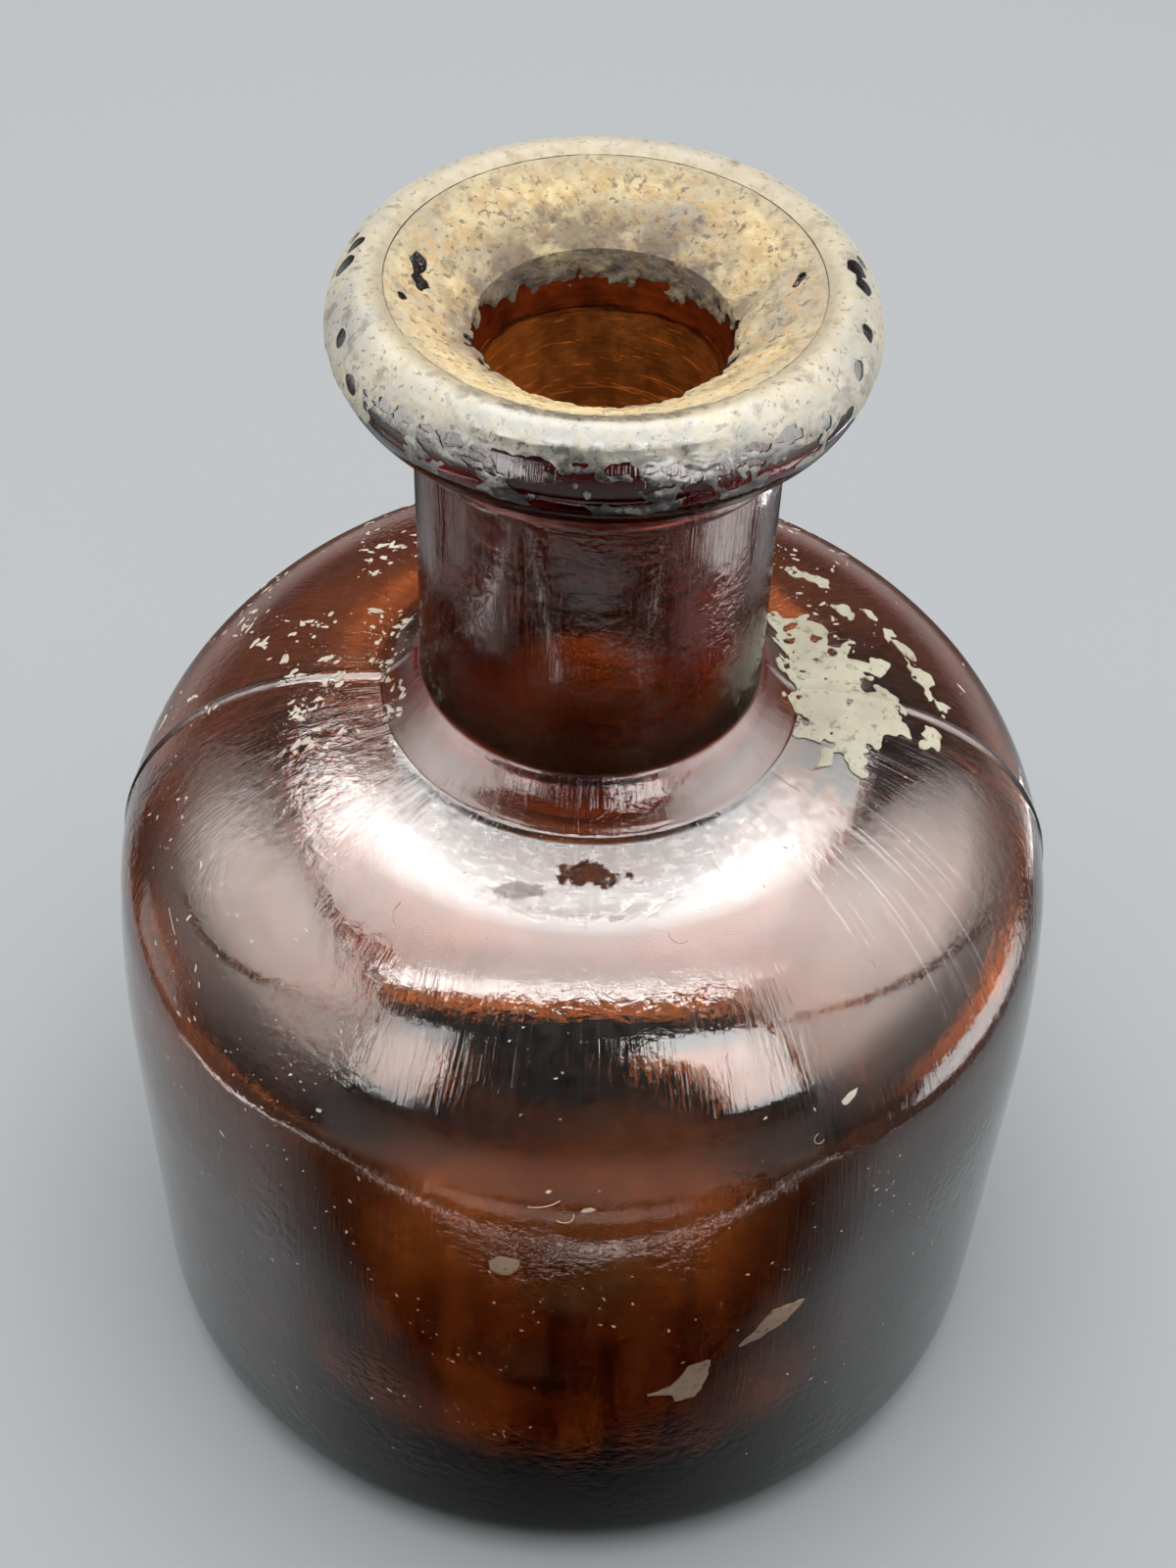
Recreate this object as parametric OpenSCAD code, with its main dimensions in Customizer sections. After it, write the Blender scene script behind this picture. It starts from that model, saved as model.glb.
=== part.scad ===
// Open-mouthed apothecary shop bottle of dark amber glass, blown in a two-part mould,
// with a separately applied bead lip and the remains of an old coat of paint.
// Millimetres, +Z up, origin at the middle of the foot. The mould seams lie in the XZ plane.

/* [Body] */
// Height from the foot to the crest of the lip
bottle_h = 138; // [126:1:220]
// Outer diameter of the straight wall
body_d = 100; // [94:1:120]
// Thickness of the wall and the shoulder
wall = 3.5; // [2.5:0.1:4.5]
// Radius between the wall and the foot
heel_r = 8; // [4:0.5:11]
// Width of the flat ring that the bottle stands on
foot_w = 5; // [3:0.5:10]
// Height of the hollow under the base
pushup_h = 5; // [2:0.5:10]
// Thickness of the base at its middle
base_t = 6; // [4:0.5:9]
// Radius inside, between the base and the wall
floor_r = 8; // [5:0.5:12]

/* [Shoulder] */
// Radius of the rounded shoulder
shoulder_r = 27; // [20:0.5:28]
// Slope of the crown round the neck, in degrees
crown_slope = 5; // [2:0.5:9]
// Radius that blends the shoulder into the wall
blend_r = 150; // [100:5:200]
// Lean of the wall where the shoulder starts, in degrees
blend_lean = 7; // [4:0.5:9]

/* [Neck] */
// Height of the neck, from the crown to the crest of the lip
neck_h = 48; // [44:0.5:60]
// Outer diameter of the neck
neck_d = 33.4; // [31:0.2:36]
// Radius outside, between the neck and the crown
root_r = 4.5; // [3:0.5:6]
// Radius inside, between the bore and the shoulder
bore_root_r = 6; // [4:0.5:8]

/* [Mouth] */
// Diameter of the throat, at the small end of the funnel
throat_d = 23.2; // [20:0.2:26]
// Depth of the funnel, from the lip joint to the throat
funnel_h = 4.8; // [3:0.2:7]
// Length of the ground seat under the throat
seat_l = 20; // [14:1:26]
// Taper of the ground seat, diameter lost in each millimetre of length
seat_taper = 0.1; // [0.04:0.01:0.14]

/* [Lip] */
// Outer diameter of the lip
lip_d = 47.4; // [46:0.2:52]
// Diameter of the lip's round bead
bead_d = 10.8; // [9.6:0.2:11.4]
// Depth of the bead's middle under the lip joint
bead_drop = 4.2; // [3.6:0.1:4.8]
// Radius of the crest between the bead and the funnel
crest_r = 1.6; // [1:0.1:2.4]
// Diameter of the joint line round the mouth
joint_d = 37.8; // [37:0.1:38.4]
// Width of the groove along the joint line
joint_w = 0.8; // [0.4:0.1:1.2]
// Depth of the groove along the joint line
joint_h = 0.5; // [0.3:0.05:0.8]
// Height of the flare that widens the neck inside the lip
flare_h = 4.4; // [3:0.2:6]
// Outer diameter of the band under the bead
band_d = 36; // [35.6:0.1:37]
// Depth of the band's lower edge under the lip joint
band_drop = 13.6; // [12.5:0.1:16]
// Radius between the bead and the band
band_fillet_r = 1.2; // [0.8:0.1:2]
// Radius of the band's lower edge
band_edge_r = 0.6; // [0.3:0.1:0.7]

/* [Mould seams] */
// Height of the seam ridges
seam_h = 0.25; // [0.15:0.05:0.5]
// Width of the seam ridges
seam_w = 0.8; // [0.5:0.1:1.5]

/* [Old paint] */
// Thickness of the paint on the lip
lip_paint_t = 0.25; // [0.15:0.05:0.5]
// How far the lip's paint reaches round the bead, in degrees below its middle
lip_paint_low = 12; // [5:1:45]
// Thickness of the crust in the funnel
crust_t = 0.35; // [0.2:0.05:0.6]
// Width of the bare edge between the crust and the throat
crust_margin = 0.6; // [0.3:0.1:1.5]
// Thickness of the paint on the shoulder
patch_t = 0.25; // [0.15:0.05:0.5]
// Thickness of the flakes on the wall
flake_t = 0.25; // [0.15:0.05:0.5]

/* [Hidden] */
$fn = 120;
arc_step = 4;

body_r = body_d / 2;
neck_r = neck_d / 2;
throat_r = throat_d / 2;
joint_r = joint_d / 2;
band_r = band_d / 2;
bead_r = bead_d / 2;
lip_r = lip_d / 2;

// Points along an arc in the profile plane, from one angle to the other
function arc(mid, r, from, to) =
    let (n = max(2, ceil(abs(to - from) / arc_step)))
    [for (i = [0:n]) let (a = from + (to - from) * i / n) mid + r * [cos(a), sin(a)]];
function backwards(line) = [for (i = [len(line) - 1:-1:0]) line[i]];
// Plan points between two radii: share of the way from the inner to the outer one, and degrees round
function between(inner_r, outer_r, points) =
    [for (p = points) let (r = inner_r + p[0] * (outer_r - inner_r)) r * [cos(p[1]), sin(p[1])]];

// Heights in the lip, from the joint line, which the crest stands a little above
funnel_angle = atan(funnel_h / (joint_r - throat_r));
funnel_dir = [cos(funnel_angle), sin(funnel_angle)];
funnel_up = [-sin(funnel_angle), cos(funnel_angle)];
bead_mid = [lip_r - bead_r, -bead_drop];
// The crest's middle touches the bead from inside and lies crest_r under the funnel's cone
crest_foot = [joint_r, 0] - crest_r * funnel_up - bead_mid;
crest_along = -crest_foot * funnel_dir
    + sqrt(pow(crest_foot * funnel_dir, 2) - crest_foot * crest_foot + pow(bead_r - crest_r, 2));
crest_mid = bead_mid + crest_foot + crest_along * funnel_dir;
crest_angle = atan2(crest_mid[1] - bead_mid[1], crest_mid[0] - bead_mid[0]);
joint_z = bottle_h - crest_mid[1] - crest_r;

// The crown is a cone round the neck, and the shoulder and the blend roll down from it to the wall
crown_z = bottle_h - neck_h;
shoulder_x = body_r - blend_r + (blend_r - shoulder_r) * cos(blend_lean);
shoulder_z = crown_z - (shoulder_x + shoulder_r * sin(crown_slope) - neck_r) * tan(crown_slope)
    - shoulder_r * cos(crown_slope);
blend_z = shoulder_z - (blend_r - shoulder_r) * sin(blend_lean);
shoulder_mid = [shoulder_x, shoulder_z];
blend_mid = [body_r - blend_r, blend_z];
root_mid = [neck_r + root_r, crown_z - root_r * tan(crown_slope) + root_r / cos(crown_slope)];

// The shoulder from the wall up to the crown, offset outwards by d
function shoulder_line(d) = concat(
    arc(blend_mid, blend_r + d, 0, blend_lean),
    arc(shoulder_mid, shoulder_r + d, blend_lean, 90 - crown_slope));
// The root of the neck, offset outwards by d
function root_line(d) = arc(root_mid, root_r - d, 270 - crown_slope, 180);

// The bore, the seat that is ground into its top, and where the bore opens into the body
bore_r = throat_r - seat_taper * seat_l / 2;
seat_top_z = joint_z - funnel_h;
bore_root_mid = [bore_r + bore_root_r,
    crown_z - (wall - bore_root_r) / cos(crown_slope)
    - (bore_r + bore_root_r - neck_r) * tan(crown_slope)];

// The base: the hollow under it and the floor above it share one middle
foot_out_r = body_r - heel_r;
foot_in_r = foot_out_r - foot_w;
pushup_r = (pow(foot_in_r, 2) + pow(pushup_h, 2)) / (2 * pushup_h);
pushup_mid = [0, pushup_h - pushup_r];
floor_edge_r = body_r - wall - floor_r;
floor_ball_r = pushup_r + base_t;
floor_edge_z = pushup_mid[1] + sqrt(pow(floor_ball_r, 2) - pow(floor_edge_r, 2));

// The joint between the neck and the lip: up the neck from the band's lower edge, then out along the
// flare to the bottom of the groove, whose two edges lie on the funnel's cone
joint_line = [
    [neck_r, joint_z - band_drop],
    [neck_r, joint_z - joint_h - flare_h],
    [joint_r, joint_z - joint_h]];
groove_in = [joint_r, joint_z] - joint_w / 2 * funnel_dir;
groove_out = [joint_r, joint_z] + joint_w / 2 * funnel_dir;

module bottle_body() {
    outside = concat(
        arc(pushup_mid, pushup_r, 90, acos(foot_in_r / pushup_r)),
        arc([foot_out_r, heel_r], heel_r, -90, 0),
        shoulder_line(0),
        root_line(0),
        joint_line,
        [groove_in]);
    inside = concat(
        [[throat_r, seat_top_z],
         [bore_r, seat_top_z - seat_l]],
        arc(bore_root_mid, bore_root_r, 180, 270 - crown_slope),
        backwards(shoulder_line(-wall)),
        arc([floor_edge_r, floor_edge_z + floor_r], floor_r, 0, -90),
        arc(pushup_mid, floor_ball_r, acos(floor_edge_r / floor_ball_r), 90));
    color("#5c2614") {
        rotate_extrude() polygon(concat(outside, inside));
        mould_seams();
    }
}

// Two fine ridges where the halves of the mould met, from the heel to the root of the neck
module mould_seams() {
    seam_top_z = root_mid[1];
    ridge = concat(
        [[body_r + seam_h, heel_r]],
        shoulder_line(seam_h),
        root_line(seam_h),
        backwards(root_line(-wall / 2)),
        backwards(shoulder_line(-wall / 2)),
        [[body_r - wall / 2, heel_r]]);
    intersection() {
        rotate_extrude() polygon(ridge);
        seam_slab(heel_r, seam_top_z);
    }
}

module seam_slab(low_z, high_z) {
    translate([-body_r - 1, -seam_w / 2, low_z])
        cube([2 * body_r + 2, seam_w, high_z - low_z]);
}

// The outside of the lip from the joint line over the crest and round the bead, offset outwards by d
function crest_line(d, low) = concat(
    [groove_out + d * funnel_up],
    arc(crest_mid + [0, joint_z], crest_r + d, 90 + funnel_angle, crest_angle),
    arc(bead_mid + [0, joint_z], bead_r + d, crest_angle, low));

module applied_lip() {
    fillet_x = band_r + band_fillet_r;
    fillet_z = bead_mid[1] - sqrt(pow(bead_r + band_fillet_r, 2) - pow(fillet_x - bead_mid[0], 2));
    fillet_angle = atan2(bead_mid[1] - fillet_z, bead_mid[0] - fillet_x);
    outside = concat(
        crest_line(0, fillet_angle - 180),
        arc([fillet_x, fillet_z + joint_z], band_fillet_r, fillet_angle, 180),
        arc([band_r - band_edge_r, joint_z - band_drop + band_edge_r], band_edge_r, 0, -90));
    color("#2f1511")
        rotate_extrude() polygon(concat(outside, joint_line));
}

// The coat of paint on the lip, with the chips that are missing from its edge
module lip_paint() {
    // Chips: place round the lip in degrees, angle round the bead, radius of the chip
    chips = [[171, 50, 1.5], [177, 44, 1.9], [-160, 30, 1.2], [7, 55, 1.9], [1, 50, 1.5], [-13, 40, 1.6],
        [-33, -12, 2.2], [-52, -10, 1.5], [-70, -12, 1.8], [-97, -12, 2.4], [-118, -10, 1.9],
        [-138, -12, 2.3], [-86, 6, 1.3], [-103, 12, 1.5], [-64, 10, 1.1]];
    coat = concat(crest_line(lip_paint_t, -lip_paint_low), backwards(crest_line(0, -lip_paint_low)));
    color("#c4bfae")
        difference() {
            rotate_extrude() polygon(coat);
            for (chip = chips)
                rotate([0, 0, chip[0]])
                    translate([bead_mid[0] + bead_r * cos(chip[1]), 0,
                        joint_z + bead_mid[1] + bead_r * sin(chip[1])])
                        sphere(r = chip[2], $fn = 32);
        }
}

// The sandy crust that coats the funnel, with a few bare spots
module mouth_crust() {
    // Bare spots: place round the funnel in degrees, share of the way up it, radius of the spot
    spots = [[166, 0.68, 1.3], [176, 0.55, 0.9], [187, 0.77, 0.7], [10, 0.74, 0.9]];
    bottom = [throat_r, seat_top_z] + crust_margin * funnel_dir;
    lift = crust_t * funnel_up;
    color("#c7a97a")
        difference() {
            rotate_extrude()
                polygon([bottom, groove_in, groove_in + lift, bottom + lift]);
            for (spot = spots)
                rotate([0, 0, spot[0]])
                    translate([throat_r + spot[1] * (joint_r - throat_r), 0, seat_top_z + spot[1] * funnel_h])
                        sphere(r = spot[2], $fn = 32);
        }
}

// What is left of the paint on the right of the shoulder
module shoulder_paint() {
    // Outlines: share of the way from the neck to the wall, and degrees round
    large = [[0.1, 27], [0.22, 31], [0.26, 25], [0.32, 20], [0.43, 14], [0.35, 7], [0.41, 2], [0.42, -7],
        [0.36, -12], [0.39, -19], [0.34, -24], [0.24, -24], [0.17, -17], [0.1, -14], [0.04, -6], [0.04, 13]];
    strip = [[0.51, 20], [0.56, 16], [0.58, 10], [0.63, 5], [0.54, 2], [0.5, 9], [0.53, 13]];
    spot = [[0.48, -4], [0.52, -3], [0.56, -2], [0.57, -5], [0.51, -8]];
    sliver = [[0.3, 46], [0.34, 43], [0.42, 32], [0.4, 30], [0.35, 34], [0.31, 41]];
    skin = concat(
        shoulder_line(patch_t),
        root_line(patch_t),
        backwards(root_line(0)),
        backwards(shoulder_line(0)));
    color("#cbc6ad")
        difference() {
            intersection() {
                rotate_extrude() polygon(skin);
                translate([0, 0, shoulder_z])
                    linear_extrude(bottle_h - shoulder_z)
                        for (patch = [large, strip, spot, sliver])
                            polygon(between(neck_r, body_r, patch));
            }
            seam_slab(shoulder_z, bottle_h);
        }
}

// Three flakes of paint that still hold to the front of the wall
module wall_flakes() {
    // Outlines: degrees round from the front, and drop under the shoulder's middle as a share of the radius
    small = [[-8.4, 0.03], [-7.6, 0.01], [-5, 0.01], [-5.3, 0.04], [-6.7, 0.065], [-8.3, 0.05]];
    long = [[19.6, 0.39], [22.3, 0.335], [24.1, 0.275], [28.4, 0.28], [26.4, 0.335], [22.8, 0.37]];
    grey = [[9.9, 0.505], [12.7, 0.485], [14.4, 0.415], [17.2, 0.405], [16.7, 0.49], [15.8, 0.54],
        [13.4, 0.545], [12.7, 0.515]];
    skin = concat(
        [[body_r + flake_t, heel_r]],
        shoulder_line(flake_t),
        backwards(shoulder_line(0)),
        [[body_r, heel_r]]);
    color("#b59b84")
        intersection() {
            rotate_extrude() polygon(skin);
            rotate([90, 0, 0])
                linear_extrude(body_d)
                    for (flake = [small, long, grey])
                        polygon([for (p = flake) [body_r * sin(p[0]), shoulder_z - p[1] * body_r]]);
        }
}

bottle_body();
applied_lip();
lip_paint();
mouth_crust();
shoulder_paint();
wall_flakes();
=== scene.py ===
# Dark amber apothecary bottle: worn glass, applied bead lip, old lip paint, crusted mouth, paint remains.
import math
import random

import bpy
import numpy as np
from mathutils import Matrix, Vector, noise


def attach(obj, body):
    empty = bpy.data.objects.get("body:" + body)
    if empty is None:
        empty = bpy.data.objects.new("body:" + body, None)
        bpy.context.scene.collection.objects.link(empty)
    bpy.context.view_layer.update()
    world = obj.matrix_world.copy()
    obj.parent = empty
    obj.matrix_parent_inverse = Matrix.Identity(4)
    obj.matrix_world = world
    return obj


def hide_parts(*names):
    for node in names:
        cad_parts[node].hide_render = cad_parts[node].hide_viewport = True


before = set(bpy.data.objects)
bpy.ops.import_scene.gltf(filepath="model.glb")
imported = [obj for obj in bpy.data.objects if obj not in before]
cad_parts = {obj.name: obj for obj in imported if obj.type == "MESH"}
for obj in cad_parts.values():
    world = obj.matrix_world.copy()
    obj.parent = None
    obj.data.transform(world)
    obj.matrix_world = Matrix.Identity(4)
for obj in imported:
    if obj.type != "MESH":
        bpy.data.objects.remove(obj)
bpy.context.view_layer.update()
mm = 0.001
print("frame loaded:", ", ".join(sorted(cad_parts)))

# The bottle's own sizes in mm and degrees, the same as the solids have
bottle = {
    "height": 138, "bodyAcross": 100, "wall": 3.5,
    "heel": 8, "footWidth": 5, "hollowHeight": 5, "baseThick": 6, "floorCorner": 8,
    "shoulder": 27, "crownSlope": 5, "blend": 150, "blendLean": 7,
    "neckHeight": 48, "neckAcross": 33.4, "neckRoot": 4.5, "boreRoot": 6,
    "throatAcross": 23.2, "funnelDepth": 4.8, "seatLength": 20, "seatTaper": 0.1,
    "lipAcross": 47.4, "beadAcross": 10.8, "beadDrop": 4.2, "crest": 1.6,
    "jointAcross": 37.8, "jointWidth": 0.8, "jointDepth": 0.5, "flareHeight": 4.4,
    "bandAcross": 36, "bandDrop": 13.6, "bandFillet": 1.2, "bandEdge": 0.6,
}


# Profiles are lists of (radius, height) in mm. They run up the outside, over the lip and down the inside

def arc(middle, radius, fromDeg, toDeg, stepDeg=3):
    count = max(2, math.ceil(abs(toDeg - fromDeg) / stepDeg))
    angles = np.radians(np.linspace(fromDeg, toDeg, count + 1))
    return [(middle[0] + radius * math.cos(a), middle[1] + radius * math.sin(a)) for a in angles]


def divided(line, gap):
    points = [line[0]]
    for start, end in zip(line, line[1:]):
        steps = max(1, math.ceil(math.dist(start, end) / gap))
        for i in range(1, steps + 1):
            points.append((start[0] + (end[0] - start[0]) * i / steps,
                           start[1] + (end[1] - start[1]) * i / steps))
    return points


def polar(radius, turnDeg):
    return radius * math.cos(math.radians(turnDeg)), radius * math.sin(math.radians(turnDeg))


def around(r, z, angle):
    return np.stack(np.broadcast_arrays(r * np.cos(angle), r * np.sin(angle), z), -1)


bodyR = bottle["bodyAcross"] / 2
neckR = bottle["neckAcross"] / 2
throatR = bottle["throatAcross"] / 2
jointR = bottle["jointAcross"] / 2
bandR = bottle["bandAcross"] / 2
beadR = bottle["beadAcross"] / 2
crestR = bottle["crest"]
slope = math.radians(bottle["crownSlope"])
lean = math.radians(bottle["blendLean"])

# The funnel of the mouth, and the crest that runs from it into the bead
funnelAngle = math.atan(bottle["funnelDepth"] / (jointR - throatR))
funnelDir = np.array([math.cos(funnelAngle), math.sin(funnelAngle)])
funnelUp = np.array([-math.sin(funnelAngle), math.cos(funnelAngle)])
beadMid = np.array([bottle["lipAcross"] / 2 - beadR, -bottle["beadDrop"]])
crestFoot = np.array([jointR, 0]) - crestR * funnelUp - beadMid
crestAlong = -crestFoot @ funnelDir + math.sqrt(
    (crestFoot @ funnelDir) ** 2 - crestFoot @ crestFoot + (beadR - crestR) ** 2)
crestMid = beadMid + crestFoot + crestAlong * funnelDir
crestDeg = math.degrees(math.atan2(crestMid[1] - beadMid[1], crestMid[0] - beadMid[0]))
jointZ = bottle["height"] - crestMid[1] - crestR
beadMid[1] += jointZ
crestMid[1] += jointZ
joint = np.array([jointR, jointZ])
seatTopZ = jointZ - bottle["funnelDepth"]
boreR = throatR - bottle["seatTaper"] * bottle["seatLength"] / 2
bandLowZ = jointZ - bottle["bandDrop"]
flareLowZ = jointZ - bottle["jointDepth"] - bottle["flareHeight"]

# The crown round the neck, the shoulder and the blend into the wall
crownZ = bottle["height"] - bottle["neckHeight"]
shoulderX = bodyR - bottle["blend"] + (bottle["blend"] - bottle["shoulder"]) * math.cos(lean)
shoulderZ = (crownZ - (shoulderX + bottle["shoulder"] * math.sin(slope) - neckR) * math.tan(slope)
             - bottle["shoulder"] * math.cos(slope))
blendMid = (bodyR - bottle["blend"], shoulderZ - (bottle["blend"] - bottle["shoulder"]) * math.sin(lean))
rootR = bottle["neckRoot"]
rootMid = (neckR + rootR, crownZ - rootR * math.tan(slope) + rootR / math.cos(slope))
boreRootR = bottle["boreRoot"]
boreRootMid = (boreR + boreRootR, crownZ - (bottle["wall"] - boreRootR) / math.cos(slope)
               - (boreR + boreRootR - neckR) * math.tan(slope))

# The base
footOutR = bodyR - bottle["heel"]
footInR = footOutR - bottle["footWidth"]
hollowR = (footInR ** 2 + bottle["hollowHeight"] ** 2) / (2 * bottle["hollowHeight"])
hollowMid = (0, bottle["hollowHeight"] - hollowR)
floorEdgeR = bodyR - bottle["wall"] - bottle["floorCorner"]
floorBallR = hollowR + bottle["baseThick"]
floorEdgeZ = hollowMid[1] + math.sqrt(floorBallR ** 2 - floorEdgeR ** 2)


def shoulderLine(offset=0, blendStepDeg=0.5, stepDeg=2):
    return (arc(blendMid, bottle["blend"] + offset, 0, bottle["blendLean"], blendStepDeg)
            + arc((shoulderX, shoulderZ), bottle["shoulder"] + offset, bottle["blendLean"],
                  90 - bottle["crownSlope"], stepDeg)[1:])


def rootLine(stepDeg=4):
    return arc(rootMid, rootR, 270 - bottle["crownSlope"], 180, stepDeg)


def crestLine(lowDeg, startGap):
    start = joint + startGap * funnelDir
    over = [tuple(start)] + arc(crestMid, crestR, 90 + math.degrees(funnelAngle), crestDeg, 10)
    return (over + arc(beadMid, beadR, crestDeg, lowDeg, 4)[1:])[::-1]


def profileNormals(line):
    steps = np.gradient(np.array(line, float), axis=0)
    turned = np.stack([steps[:, 1], -steps[:, 0]], 1)
    return turned / np.linalg.norm(turned, axis=1, keepdims=True)


# A place and the outward direction there, from a step along a profile and an angle round the axis
def onProfile(line, normals, step, angle):
    (r, z), (nr, nz) = [[np.interp(step, range(len(line)), values[:, k]) for k in (0, 1)]
                        for values in (line, normals)]
    return around(r, z, angle), around(nr, nz, angle)


# Uneven glass: slow waves over the outside, deeper ones inside, and the two mould seams. Heights in mm
glassWave = {
    "outer": 0.05, "longWave": 17, "shortWave": 6, "shortShare": 0.35, "outerFrom": (1, 9), "bandClear": 3,
    "inner": 0.35, "innerWave": 12, "innerAbove": (44, 64), "aboveShare": 0.12, "rootClear": 3,
    "seamHeight": 0.25, "seamHalfWidth": 0.4, "seamFrom": (6, 11), "seamEnd": 2,
    "crownThicker": 0.62, "thickerFrom": (74, 87), "rootCone": 0.8, "coneStartDeg": 14, "coneEndDeg": 10,
}


def smooth(low, high, value):
    t = np.clip((value - low) / (high - low), 0, 1)
    return t * t * (3 - 2 * t)


def noiseAt(points, size, seed=0):
    shift = Vector((seed * 7.3, seed * 3.1, seed * 5.7))
    flat = np.asarray(points, float).reshape(-1, 3) / size
    found = [noise.noise(Vector(p) + shift) for p in flat]
    return np.array(found).reshape(np.asarray(points).shape[:-1])


def roughAt(points, size, fineSize, seed, fineShare=0.6):
    return noiseAt(points, size, seed) + fineShare * noiseAt(points, fineSize, seed + 1)


# The glass at the foot of the neck is nearly a cone, with a tight bend at either end
def rootCone(x, y, z):
    half = (90 - bottle["crownSlope"]) / 2
    turn = np.degrees(np.arctan2(rootMid[1] - z, rootMid[0] - np.hypot(x, y)))
    off = np.radians(np.clip(turn, 0, 2 * half) - half)
    ends = smooth(0, glassWave["coneStartDeg"], turn)
    ends *= 1 - smooth(2 * half - glassWave["coneEndDeg"], 2 * half, turn)
    return glassWave["rootCone"] * rootR * (1 - math.cos(math.radians(half)) / np.cos(off)) * ends


def outerWave(points):
    x, y, z = points[..., 0], points[..., 1], points[..., 2]
    slow = roughAt(points, glassWave["longWave"], glassWave["shortWave"], 1, glassWave["shortShare"])
    free = smooth(*glassWave["outerFrom"], z) * (1 - smooth(bandLowZ - glassWave["bandClear"], bandLowZ, z))
    ridge = np.exp(-(y / glassWave["seamHalfWidth"]) ** 2)
    along = smooth(*glassWave["seamFrom"], z)
    along *= 1 - smooth(rootMid[1] - glassWave["seamEnd"], rootMid[1], z)
    return glassWave["outer"] * slow * free + glassWave["seamHeight"] * ridge * along + rootCone(x, y, z)


def innerWave(points):
    z, least = points[..., 2], glassWave["aboveShare"]
    free = least + (1 - least) * (1 - smooth(*glassWave["innerAbove"], z))
    belowRoot = 1 - smooth(boreRootMid[1] - glassWave["rootClear"], boreRootMid[1], z)
    waves = glassWave["inner"] * noiseAt(points, glassWave["innerWave"], 3) * free * belowRoot
    return waves + glassWave["crownThicker"] * smooth(*glassWave["thickerFrom"], z) * belowRoot


# Mesh makers

def makeObject(name, points, faces, material, sharpDeg=35):
    mesh = bpy.data.meshes.new(name)
    mesh.from_pydata((np.asarray(points) * mm).tolist(), [], faces)
    mesh.validate()
    mesh.shade_smooth()
    mesh.set_sharp_from_angle(angle=math.radians(sharpDeg))
    mesh.materials.append(material)
    made = bpy.data.objects.new(name, mesh)
    bpy.context.scene.collection.objects.link(made)
    return made


def turned(name, line, angles, waveOf, material, closed=False):
    line = np.array(line, float)
    normals = profileNormals(list(line))
    points, rings = [], []
    for (r, z), (nr, nz), wave in zip(line, normals, waveOf):
        if r < 1e-6:
            rings.append([len(points)])
            points.append((0, 0, z))
            continue
        ring, out = around(r, z, angles), around(nr, nz, angles)
        lift = wave(ring) if wave else np.zeros(len(angles))
        rings.append(list(range(len(points), len(points) + len(angles))))
        points.extend(ring + out * lift[:, None])
    faces = []
    pairs = list(zip(rings, rings[1:])) + ([(rings[-1], rings[0])] if closed else [])
    for low, high in pairs:
        for i in range(len(angles)):
            j = (i + 1) % len(angles)
            if len(low) == 1:
                faces.append((low[0], high[j], high[i]))
            elif len(high) == 1:
                faces.append((low[i], low[j], high[0]))
            else:
                faces.append((low[i], low[j], high[j], high[i]))
    return makeObject(name, points, faces, material)


def cutCells(value, wrapped):
    rows, cols = value.shape
    index, spots, faces = {}, [], []

    def spot(key, row, col, height):
        if key not in index:
            index[key] = len(spots)
            spots.append((row, col, height))
        return index[key]

    for i in range(rows if wrapped else rows - 1):
        for j in range(cols - 1):
            ring = [(i, j), (i + 1, j), (i + 1, j + 1), (i, j + 1)]
            heights = [value[a % rows, b] for a, b in ring]
            if max(heights) <= 0:
                continue
            face = []
            for k in range(4):
                here, there = ring[k], ring[(k + 1) % 4]
                keyHere, keyThere = (here[0] % rows, here[1]), (there[0] % rows, there[1])
                up, down = heights[k], heights[(k + 1) % 4]
                if up > 0:
                    face.append(spot(keyHere, *here, up))
                if (up > 0) != (down > 0):
                    t = min(max(up / (up - down), 0.03), 0.97)
                    face.append(spot(frozenset((keyHere, keyThere)), here[0] + (there[0] - here[0]) * t,
                                     here[1] + (there[1] - here[1]) * t, 0))
            if len(face) > 2:
                faces.append(face)
    return np.array(spots, float), faces


# A thin closed skin over a turned surface, cut along the line where coverOf is 0
def coat(name, line, gap, coverOf, thickOf, material, spanDeg=(0, 360), waveOf=outerWave, under=0.02):
    line = np.array(divided(line, gap))
    normals = profileNormals(list(line))
    wrapped = spanDeg[1] - spanDeg[0] >= 360
    across = max(line[:, 0]) * math.radians(spanDeg[1] - spanDeg[0])
    rows = math.ceil(across / gap)
    angles = np.radians(np.linspace(*spanDeg, rows, endpoint=not wrapped))
    turn = angles[1] - angles[0]
    gridRow, gridCol = np.meshgrid(range(rows), range(len(line)), indexing="ij")
    at, _ = onProfile(line, normals, gridCol, angles[0] + gridRow * turn)
    value = coverOf(at)
    spots, faces = cutCells(value, wrapped)
    at, out = onProfile(line, normals, spots[:, 1], angles[0] + spots[:, 0] * turn)
    lift = waveOf(at) if waveOf else np.zeros(len(at))
    low = at + out * (lift + under)[:, None]
    high = at + out * (lift + under + thickOf(at, spots[:, 2]))[:, None]
    count = len(low)
    sides = set()
    for face in faces:
        sides.update(zip(face, face[1:] + face[:1]))
    allFaces = [list(face) for face in faces]
    allFaces += [[v + count for v in reversed(face)] for face in faces]
    allFaces += [[b, a, a + count, b + count] for a, b in sorted(sides) if (b, a) not in sides]
    return makeObject(name, np.concatenate([high, low]), allFaces, material)


# Shader helpers

def setSockets(node, sockets):
    for key, value in sockets.items():
        if isinstance(value, bpy.types.NodeSocket):
            node.id_data.links.new(value, node.inputs[key])
        else:
            node.inputs[key].default_value = value
    return node


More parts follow.
